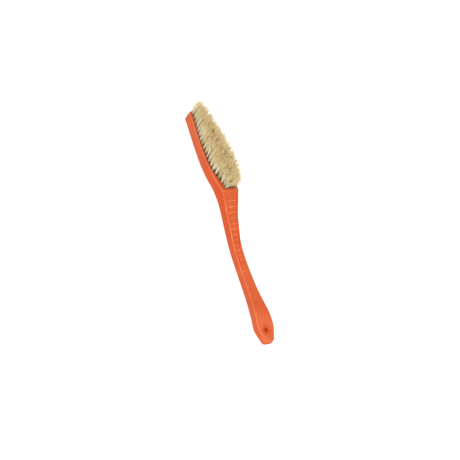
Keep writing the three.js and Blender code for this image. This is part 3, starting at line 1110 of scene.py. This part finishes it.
    def tail_light_share(self, point: Vector) -> float:
        """The painted light on the front of the tail at a point, all round the dish of the hang hole.

        Args:
            point: A point of the moulding.

        Returns:
            The painted light, from 0 to the tail's own.
        """
        mouth, _ = self.hang_hole_place()
        in_dish = (point - mouth).length < self.dish_diameter / 2 - self.highlight_slack
        if in_dish or abs(point.z - self.front(point.x)) > self.highlight_slack:
            return 0.0
        return self.tail_highlight * float(np.clip((point.x - self.flare_place) / self.tail.run, 0, 1))

    def edge_highlight_share(self, point: Vector) -> float:
        """The painted highlight on the rounded edges at a point; just below the crease there is none.

        Args:
            point: A point of the moulding.

        Returns:
            The painted highlight, from 0 to the edges' own.
        """
        inwards = self.inwards(point)
        front_gap = (inwards + abs(self.front(point.x) - point.z)) / self.front_edge_radius
        back_gap = (inwards + abs(point.z - self.back(point.x))) / self.back_edge_radius
        near = (self.edge_highlight_end - min(front_gap, back_gap)) / self.edge_highlight_fade
        below_crease = point.x - self.crease_place
        reached = min(below_crease / self.highlight_fade_below_crease, 1) if below_crease > 0 else 1
        return self.painted_highlight * float(np.clip(near, 0, 1)) * reached

    def highlight_share(self, point: Vector) -> float:
        """The painted highlight on the plastic at a point: on ribs, edges, the crease and the tail.

        Args:
            point: A point of the moulding.

        Returns:
            The painted highlight, from 0 to 1.
        """
        if self.is_on_rib_top(point):
            return self.rib_highlight
        crease_reach = 2 * self.crease_radius
        on_crease = abs(point.x - self.crease_place) < crease_reach and point.z > -crease_reach
        return max(self.edge_highlight_share(point), self.tail_light_share(point), self.crease_highlight if on_crease else 0.0)

    def painted_side_shade(self, point: Vector) -> float:
        """How far painted shade darkens the side walls at a point, from 0 to 1."""
        return self.side_shade_curve(point.x) * max(1 - self.inwards(point) / self.side_shade_fade, 0)

    def bore(self, point: Vector) -> float:
        """How far a point belongs to the wall of the hang hole.

        Args:
            point: A point of the moulding.

        Returns:
            1 on the wall, fading to 0 outside it.
        """
        mouth, turn = self.hang_hole_place()
        axis = Matrix.Rotation(turn, 3, "Y") @ Vector((0, 0, 1))
        outwards = (point - mouth).cross(axis).length - self.hang_hole_diameter / 2
        return float(np.clip(1 - outwards / self.bore_fade, 0, 1))

    def mark(self, piece: bpy.types.Object) -> None:
        """Marks the painted highlights, the side walls' painted shade and the wall of the hang hole.

        Args:
            piece: The moulding, still in millimetres.
        """
        marks = {self.finish.highlight_attribute: self.highlight_share, self.finish.side_shade_attribute: self.painted_side_shade,
                 self.finish.bore_attribute: self.bore}
        for name, share in marks.items():
            carry(piece.data, name, [share(vert.co) for vert in piece.data.vertices])

    def build(self, tufts: Sequence["Tuft"], place: BrushFrame) -> bpy.types.Object:
        """Models the handle and lays it on the frame.

        Args:
            tufts: The tufts that its head is bored for.
            place: Where the brush lies.

        Returns:
            The finished piece.
        """
        bench = self.draw_front()
        self.thicken(bench)
        self.round_all_edges(bench)
        self.outline_panel(bench)
        self.sink_panel(bench)
        self.raise_ribs(bench)
        piece = bench.close()
        holes = copies_joined(self.tuft_hole(), [(tuft.x, tuft.y, 0) for tuft in tufts])
        combine(piece, holes, Merge.CUT_OUT)
        combine(piece, self.hang_hole(), Merge.CUT_OUT)
        self.mark(piece)
        make_only_selection(piece)
        bpy.ops.object.shade_smooth_by_angle(angle=self.smooth_angle)
        bpy.ops.object.modifier_add(type="WEIGHTED_NORMAL")
        piece.modifiers[-1].keep_sharp = True
        bpy.ops.object.modifier_apply(modifier=piece.modifiers[-1].name)
        place.lay(piece)
        piece.data.materials.clear()
        piece.data.materials.append(self.finish.material())
        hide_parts("handle")
        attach(piece, "root")
        return piece


@dataclass(frozen=True)
class Tuft:
    """A tuft of bristle: its hole on the face, its row, and how far its tips fan out.

    The roots' reach is along X and Y, the tips' is backwards and forwards from the hole along each, and
    the fans say how early the hairs spread. The open sides are those without a neighbour: forwards along
    X and Y, then backwards along each.
    """

    x: float
    y: float
    row: int
    open_sides: tuple[bool, ...]
    roots: Span
    reach_back: Span
    reach_ahead: Span
    fans: Span

    def is_outer(self) -> bool:
        """Whether the tuft stands at the edge of the field."""
        return any(self.open_sides)


class Hairs(NamedTuple):
    """Hairs laid out: each one's points at its rings, its tone from 0 to 1, and what it darkens over.

    A hair starts to darken at the first of two heights, and is darkest at the second.
    """

    lines: np.ndarray
    tones: np.ndarray
    shades: np.ndarray


@dataclass
class BristleField:
    """The tufts of the head, in three banks of hairs, in millimetres."""

    banks: tuple[str, ...] = ("bristle_bank_tip", "bristle_bank_middle", "bristle_bank_neck")
    row_gap: float = 1
    # One hair
    length: float = 15.3
    root_depth: float = 2.0
    root_diameter: float = 0.22
    tip_diameter: float = 0.13
    hair_sides: int = 3
    hair_steps: int = 4
    # How a tuft fans out, at the edge of the field and among its neighbours
    hairs_per_tuft: int = 190
    free_root: float = 1.4
    crowded_root: float = 1.3
    tip_reach: float = 5.2
    tip_flare: float = 3.9
    neck_flare: float = 4.9
    overlap: float = 1.2
    outer_overlap: float = 1.06
    corner_fill: float = 0.22
    free_fan: float = 0.42
    crowded_fan: float = 1.6
    # Clumps that the tips gather in, in shares of the tuft
    outer_clumps: int = 10
    inner_clumps: int = 5
    outer_clump_reach: float = 0.92
    inner_clump_reach: float = 0.42
    clump_stray: float = 0.12
    clump_pull: float = 0.58
    pull_span: Span = (0.3, 1.0)
    # Painted shade: heights hairs darken over, inside the field, on an open side and between two outer
    # tufts
    inner_shade: Span = (13, 6)
    outer_shade: Span = (3.0, -0.8)
    flank_shade: Span = (9, 3)
    flank_share: float = 0.55
    side_light: tuple[float, ...] = (0.25, 1.0, 1.0, 1.0)
    # Tones
    tone_spread: Span = (3.2, 1.4)
    tuft_tone: float = 0.08
    clump_tone: float = 0.55
    # How much paler painted light makes the outer tufts
    outer_painted_light: float = 0.28
    # Uneven growth and trim
    wander: float = 0.18
    tuft_wander: float = 0.2
    bow: float = 0.7
    ragged: float = 0.35
    tuft_uneven: float = 0.12
    clump_uneven: float = 0.42
    short_share: float = 0.12
    short_by: float = 2.2
    seed: int = 8
    # A hair's map, in shares of its square: sides side by side, with the two ends above them
    map_margin: float = 0.04
    map_sides_height: float = 0.84
    map_side_inset: float = 0.03
    map_end: tuple[Span, ...] = ((0.05, 0.88), (0.4, 0.88), (0.22, 0.99))
    map_end_step: float = 0.5
    finish: BoarBristle = field(default_factory=BoarBristle)

    def anchor_rows(self, nodes: Iterable[str], place: BrushFrame) -> dict[float, list[float]]:
        """Finds the rows of wire anchors across the head.

        Args:
            nodes: Names of the frame's nodes.
            place: Where the brush lies.

        Returns:
            For each row's place along the head, from the tip, the places of its anchors across.
        """
        rows: dict[float, list[float]] = {}
        for name in sorted(node for node in nodes if node.startswith("anchor_")):
            low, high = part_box(name)
            middle = place.drawn((low + high) / 2)
            row = next((x for x in rows if abs(middle.x - x) < self.row_gap), middle.x)
            rows.setdefault(row, []).append(middle.y)
        return {row: sorted(rows[row]) for row in sorted(rows)}

    def tufts(self, nodes: Iterable[str], place: BrushFrame) -> list[Tuft]:
        """Finds the tufts by the wire anchors that hold them.

        Args:
            nodes: Names of the frame's nodes.
            place: Where the brush lies.

        Returns:
            The tufts, row by row from the tip.
        """
        rows = self.anchor_rows(nodes, place)
        last_row = len(rows) - 1
        row_pitch = (max(rows) - min(rows)) / last_row
        found = []
        for row, (x, sides) in enumerate(rows.items()):
            pitch = sides[1] - sides[0] if len(sides) > 1 else row_pitch
            flare = self.tip_flare + (self.neck_flare - self.tip_flare) * row / last_row
            for i, y in enumerate(sides):
                at_start = (row == 0, i == 0)
                at_end = (row == last_row, i == len(sides) - 1)
                open_sides = at_end + at_start
                along = row_pitch / 2 * (self.outer_overlap if any(open_sides) else self.overlap)
                across = pitch / 2 * self.overlap
                back = (self.tip_reach if at_start[0] else along, flare if at_start[1] else across)
                ahead = (flare if at_end[0] else along, flare if at_end[1] else across)
                free = [first or last for first, last in zip(at_start, at_end, strict=True)]
                fans = tuple(self.free_fan if is_free else self.crowded_fan for is_free in free)
                roots = tuple(self.free_root if is_free and not all(free) else self.crowded_root
                              for is_free in free)
                found.append(Tuft(x, y, row, open_sides, roots, back, ahead, fans))
        return found

    def hair(self) -> bpy.types.Object:
        """Models one hair: a slim upright of unit radius, with a ring at each step of its length.

        Returns:
            The hair, of one unit's length a step.
        """
        bench = Bench("hair", bpy.ops.mesh.primitive_circle_add, vertices=self.hair_sides, radius=1,
                      fill_type="NGON")
        bench.pick(Pick.FACES, lambda face: True)
        for _ in range(self.hair_steps):
            bench.extrude((0, 0, 1))
        return bench.close()

    def clump_centres(self, draw: np.random.Generator) -> np.ndarray:
        """Where a tuft's hairs gather at their tips: a ring of places round a few inner ones.

        Args:
            draw: The source of random numbers.

        Returns:
            The places, in a unit disc.
        """
        counts = (self.outer_clumps, self.inner_clumps)
        reaches = (self.outer_clump_reach, self.inner_clump_reach)
        rings = []
        for count, reach in zip(counts, reaches, strict=True):
            turns = draw.uniform(0, 2 * np.pi) + np.arange(count) * 2 * np.pi / count
            rings.append(reach * on_circle(turns))
        centres = np.concatenate(rings)
        return centres + draw.normal(0, self.clump_stray, centres.shape)

    def tips(self, tuft: Tuft, disc: np.ndarray, centres: np.ndarray,
             draw: np.random.Generator) -> np.ndarray:
        """Where the hairs of a tuft end: gathered in clumps, and fanned out as far as the tuft reaches.

        Args:
            tuft: The tuft.
            disc: Each hair's place in the tuft, in a unit disc.
            centres: The middle of each hair's clump, in the same disc.
            draw: The source of random numbers.

        Returns:
            The tips' places across the tuft, from the middle of its hole.
        """
        gathered = disc + (centres - disc) * self.clump_pull * draw.uniform(*self.pull_span, (len(disc), 1))
        turn = np.arctan2(disc[:, 1:], disc[:, :1])
        filled = gathered * (1 + self.corner_fill * np.sin(2 * turn) ** 2)
        tip = filled * np.where(filled > 0, np.array(tuft.reach_ahead), np.array(tuft.reach_back))
        tip += draw.normal(0, self.wander, tip.shape)
        return tip + draw.normal(0, self.tuft_wander, 2)

    def heights(self, clump: np.ndarray, draw: np.random.Generator) -> np.ndarray:
        """How high the hairs of a tuft stand: a ragged trim, with lower clumps and a few short hairs.

        Args:
            clump: The number of each hair's clump.
            draw: The source of random numbers.

        Returns:
            Each hair's height over the face.
        """
        count = len(clump)
        clumps = self.outer_clumps + self.inner_clumps
        height = self.length - np.abs(draw.normal(0, self.ragged, count))
        height -= abs(draw.normal(0, self.tuft_uneven))
        height -= np.abs(draw.normal(0, self.clump_uneven, clumps))[clump]
        is_short = draw.uniform(0, 1, count) < self.short_share
        return height - is_short * draw.uniform(0, self.short_by, count)

    def tones(self, tuft: Tuft, clump: np.ndarray, draw: np.random.Generator) -> np.ndarray:
        """How pale a tuft's hairs are: those of a clump are alike, and painted light pales outer tufts.

        Args:
            tuft: The tuft.
            clump: The number of each hair's clump.
            draw: The source of random numbers.

        Returns:
            Each hair's tone, from 0 to 1.
        """
        clumps = self.outer_clumps + self.inner_clumps
        tone = draw.beta(*self.tone_spread, len(clump)) + draw.normal(0, self.tuft_tone)
        tone += draw.normal(0, self.clump_tone, clumps)[clump]
        # Painted light: the tufts on the field's sides are paler
        tone += self.outer_painted_light * tuft.is_outer()
        return np.clip(tone, 0, 1)

    def shades(self, tuft: Tuft, disc: np.ndarray) -> np.ndarray:
        """How far down each hair of a tuft catches the light: least between tufts, most on an open side.

        Args:
            tuft: The tuft.
            disc: Each hair's place in the tuft, in a unit disc.

        Returns:
            The heights at which each hair starts to darken towards its root, and is darkest.
        """
        if not tuft.is_outer():
            return np.tile(np.array(self.inner_shade, float), (len(disc), 1))
        light = np.array(tuft.open_sides) * np.array(self.side_light)
        outwards = (np.concatenate([disc, -disc], axis=1) * light).max(axis=1)
        lit = np.clip(outwards / self.flank_share, 0, 1)[:, None]
        return (1 - lit) * np.array(self.flank_shade) + lit * np.array(self.outer_shade)

    def hairs(self, tuft: Tuft, draw: np.random.Generator) -> Hairs:
        """Lays out the hairs of a tuft, from their roots in its hole to their fanned tips.

        Args:
            tuft: The tuft.
            draw: The source of random numbers.

        Returns:
            The hairs.
        """
        count = self.hairs_per_tuft
        turn = draw.uniform(0, 2 * np.pi, count)
        out = np.sqrt(draw.uniform(0, 1, count))
        disc = out[:, None] * on_circle(turn)
        root = disc * np.array(tuft.roots)
        centres = self.clump_centres(draw)
        clump = np.linalg.norm(disc[:, None] - centres[None], axis=2).argmin(axis=1)
        tip = self.tips(tuft, disc, centres[clump], draw)
        height = self.heights(clump, draw)[:, None]
        bow_way = on_circle(draw.uniform(0, 2 * np.pi, count))
        bow = draw.uniform(0, self.bow, count)[:, None] * bow_way
        steps = np.linspace(0, 1, self.hair_steps + 1)
        z = -self.root_depth + (height + self.root_depth) * steps
        above = np.clip(z / height, 0, 1)
        fanned = above[:, :, None] ** np.array(tuft.fans)
        flat = root[:, None] * (1 - fanned) + tip[:, None] * fanned
        flat += bow[:, None] * (4 * above * (1 - above))[:, :, None]
        lines = np.concatenate([flat + np.array([tuft.x, tuft.y]), z[:, :, None]], axis=2)
        return Hairs(lines, self.tones(tuft, clump, draw), self.shades(tuft, disc))

    def hair_map(self, hair: bpy.types.Mesh) -> list[np.ndarray]:
        """Unfolds the hair's faces in a unit square.

        Args:
            hair: The hair's mesh.

        Returns:
            For each face, the place of each of its corners.
        """
        places = []
        for face in hair.polygons:
            middle = face.center
            if abs(face.normal.z) > FACES_UP:
                shift = self.map_end_step * (middle.z > self.hair_steps / 2)
                places.append(np.array(self.map_end) + np.array([shift, 0]))
                continue
            turn = math.atan2(middle.y, middle.x) % (2 * math.pi)
            side = int(turn / (2 * math.pi) * self.hair_sides)
            cells = []
            for corner in face.vertices:
                co = hair.vertices[corner].co
                ahead = math.sin(math.atan2(co.y, co.x) - turn) > 0
                across = side + (1 - self.map_side_inset if ahead else self.map_side_inset)
                along = co.z / self.hair_steps * self.map_sides_height
                cells.append((across / self.hair_sides, along))
            places.append(np.array(cells))
        return places

    def map_bank(self, mesh: bpy.types.Mesh, hair: bpy.types.Mesh, count: int) -> None:
        """Gives a bank its map, with a square for each hair.

        Args:
            mesh: The bank's mesh.
            hair: The hair's mesh.
            count: The number of hairs in the bank.
        """
        across = math.ceil(math.sqrt(count))
        squares = np.stack([np.arange(count) % across, np.arange(count) // across], axis=1)
        unfolded = np.concatenate(self.hair_map(hair))
        room = 1 - 2 * self.map_margin
        places = (squares[:, None] + self.map_margin + room * unfolded[None]) / across
        uv = mesh.uv_layers.new(name="OFBake")
        uv.data.foreach_set("uv", places.astype(np.float32).ravel())

    def bank_mesh(self, name: str, hairs: Hairs, hair: bpy.types.Mesh) -> bpy.types.Object:
        """Copies the hair along every line of a bank, as one mesh.

        Args:
            name: The piece's name.
            hairs: The bank's hairs.
            hair: The hair's mesh.

        Returns:
            The bank, still in millimetres.
        """
        count = len(hairs.lines)
        unit = np.array([vert.co for vert in hair.vertices])
        ring = np.rint(unit[:, 2]).astype(int)
        radii = np.linspace(self.root_diameter, self.tip_diameter, self.hair_steps + 1) / 2
        points = hairs.lines[:, ring]
        points[:, :, :2] += (unit[:, :2] * radii[ring][:, None])[None]
        faces = [list(face.vertices) for face in hair.polygons]
        stride = len(unit)
        all_faces = [[corner + stride * i for corner in face] for i in range(count) for face in faces]
        mesh = bpy.data.meshes.new(name)
        mesh.from_pydata(points.reshape(-1, 3).tolist(), [], all_faces)
        lit = hairs.shades[:, :1]
        dark = hairs.shades[:, 1:]
        sunk = np.clip((lit - hairs.lines[:, :, 2]) / (lit - dark), 0, 1)
        carry(mesh, self.finish.tone_attribute, np.repeat(hairs.tones, stride))
        carry(mesh, self.finish.along_attribute, np.tile(ring / self.hair_steps, count))
        carry(mesh, self.finish.shade_attribute, sunk[:, ring])
        self.map_bank(mesh, hair, count)
        mesh.polygons.foreach_set("use_smooth", np.ones(len(mesh.polygons), bool))
        mesh.update()
        piece = bpy.data.objects.new(name, mesh)
        bpy.context.scene.collection.objects.link(piece)
        return piece

    def build(self, tufts: Sequence[Tuft], place: BrushFrame) -> list[bpy.types.Object]:
        """Fills the tufts with hair, bank by bank, and lays them on the frame.

        Args:
            tufts: The tufts.
            place: Where the brush lies.

        Returns:
            The finished banks.
        """
        draw = np.random.default_rng(self.seed)
        hair = self.hair()
        material = self.finish.material()
        rows_per_bank = (max(tuft.row for tuft in tufts) + 1) / len(self.banks)
        made = []
        for number, node in enumerate(self.banks):
            drawn = [self.hairs(tuft, draw) for tuft in tufts if tuft.row // rows_per_bank == number]
            bank = Hairs(*(np.concatenate(part) for part in zip(*drawn, strict=True)))
            piece = self.bank_mesh(node.replace("bristle_bank", "bristles"), bank, hair.data)
            place.lay(piece)
            piece.data.materials.append(material)
            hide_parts(node)
            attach(piece, "root")
            made.append(piece)
        bpy.data.objects.remove(hair)
        return made


@dataclass
class WireAnchors:
    """The flat wire anchors deep in the tuft holes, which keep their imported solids."""

    finish: DrawnWire = field(default_factory=DrawnWire)

    def dress(self, nodes: dict[str, bpy.types.Object]) -> list[bpy.types.Object]:
        """Gives every anchor its steel.

        Args:
            nodes: The frame's nodes by name.

        Returns:
            The anchors.
        """
        material = self.finish.material()
        anchors = [nodes[name] for name in sorted(nodes) if name.startswith("anchor_")]
        for anchor in anchors:
            anchor.data.materials.clear()
            anchor.data.materials.append(material)
        return anchors


@dataclass(frozen=True)
class Softbox:
    """A soft light that faces the brush: its power in watts, and its width and height in metres.

    It stands to the right, upwards and towards the camera in the shares that its direction gives.
    """

    name: str
    power: float
    size: Span
    direction: Point


@dataclass
class Studio:
    """A pale floor under soft light, seen along the photograph's line of sight.

    The view's directions and its aim are in the frame of the bristle face. Other sizes are in metres.
    """

    # Camera
    to_camera: Point = (0.4023, -0.5495, 0.7324)
    up: Point = (-0.8311, 0.1163, 0.5439)
    aim_mm: Point = (118.0, -3.7, -21.3)
    mm_per_pixel: float = 0.912
    lens_mm: float = 300
    sensor_mm: float = 36
    view_end: float = 100
    # Floor
    floor_size: float = 12
    floor_colour: Colour = (0.50, 0.50, 0.495)
    floor_tint: Pattern = Pattern(per_metre=1.5, detail=2.0)
    floor_shade: float = 0.98
    floor_roughness: float = 0.9
    floor_gloss: float = 0.1
    floor_glow: float = 0.78
    # Light
    sky: float = 0.45
    light_distance: float = 1.6
    key: Softbox = Softbox("key_light", power=25.5, size=(1.2, 1.2), direction=(0.25, -0.03, 0.87))
    strip: Softbox = Softbox("strip_light", power=4.5, size=(0.35, 1.5), direction=(-0.42, 0.55, 0.72))

    def view_axes(self, place: BrushFrame) -> Matrix:
        """The photograph's right, up and towards the camera, as the columns of a turn."""
        return aimed(place.turned(self.to_camera).normalized(), place.turned(self.up))

    def build_camera(self, place: BrushFrame) -> None:
        """Sets up the camera, nearly square on, with the photograph's roll.

        Args:
            place: Where the brush lies.
        """
        view_width = PHOTO_SIDE_PX * self.mm_per_pixel * METRES_PER_MM
        distance = view_width * self.lens_mm / self.sensor_mm
        axes = self.view_axes(place)
        data = bpy.data.cameras.new("photo_camera")
        data.lens = self.lens_mm
        data.sensor_width = self.sensor_mm
        data.clip_end = self.view_end
        camera = bpy.data.objects.new("photo_camera", data)
        bpy.context.scene.collection.objects.link(camera)
        eye = place.placed(self.aim_mm) + axes.col[2] * distance
        camera.matrix_world = Matrix.Translation(eye) @ axes.to_4x4()
        bpy.context.scene.camera = camera

    def build_floor(self) -> None:
        """Lays the floor, which glows so that it stays pale in its own shadows."""
        floor = Bench("studio_floor", bpy.ops.mesh.primitive_plane_add, size=self.floor_size).close()
        sheet = NodeSheet("pale_floor")
        darker = tuple(self.floor_shade * part for part in self.floor_colour)
        tint = sheet.ramp(sheet.noise(self.floor_tint), NOISE_SPAN, (darker, self.floor_colour))
        sheet.vary("Base Color", tint)
        sheet.fix("Roughness", self.floor_roughness)
        sheet.fix("Specular IOR Level", self.floor_gloss)
        sheet.fix("Emission Color", WHITE)
        sheet.fix("Emission Strength", self.floor_glow)
        floor.data.materials.append(sheet.material)

    def hang(self, box: Softbox, axes: Matrix) -> None:
        """Hangs a softbox that faces the brush.

        Args:
            box: The softbox.
            axes: The photograph's right, up and towards the camera, as the columns of a turn.
        """
        data = bpy.data.lights.new(box.name, "AREA")
        data.energy = box.power
        data.shape = "RECTANGLE"
        data.size, data.size_y = box.size
        light = bpy.data.objects.new(box.name, data)
        bpy.context.scene.collection.objects.link(light)
        back = (axes @ Vector(box.direction)).normalized()
        turn = aimed(back, axes.col[1]).to_4x4()
        light.matrix_world = Matrix.Translation(back * self.light_distance) @ turn

    def build_light(self, place: BrushFrame) -> None:
        """Lights the studio: an even sky, a key over the front and a strip that the left edge mirrors.

        Args:
            place: Where the brush lies.
        """
        world = bpy.data.worlds.new("studio_sky")
        world.use_nodes = True
        background = world.node_tree.nodes["Background"]
        background.inputs["Color"].default_value = WHITE
        background.inputs["Strength"].default_value = self.sky
        bpy.context.scene.world = world
        for box in (self.key, self.strip):
            self.hang(box, self.view_axes(place))

    def build(self, place: BrushFrame) -> None:
        """Sets up the camera, the floor, the light and the film.

        Args:
            place: Where the brush lies.
        """
        self.build_camera(place)
        self.build_floor()
        self.build_light(place)
        bpy.context.scene.view_settings.view_transform = "Standard"


def main(packed: dict[str, Any]) -> None:
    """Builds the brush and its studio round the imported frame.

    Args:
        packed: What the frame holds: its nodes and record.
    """
    logging.basicConfig(level=logging.INFO, format="%(name)s: %(message)s")
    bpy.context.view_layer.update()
    handle = HandleMoulding()
    bristles = BristleField()
    place = BrushFrame.from_record(packed["record"], handle.mount_point())
    tufts = bristles.tufts(packed["nodes"], place)
    made = [handle.build(tufts, place), *bristles.build(tufts, place)]
    made += WireAnchors().dress(packed["nodes"])
    Studio().build(place)
    for piece in made:
        log.info("%s: %d faces", piece.name, len(piece.data.polygons))


if __name__ == "__main__":
    main(frame)
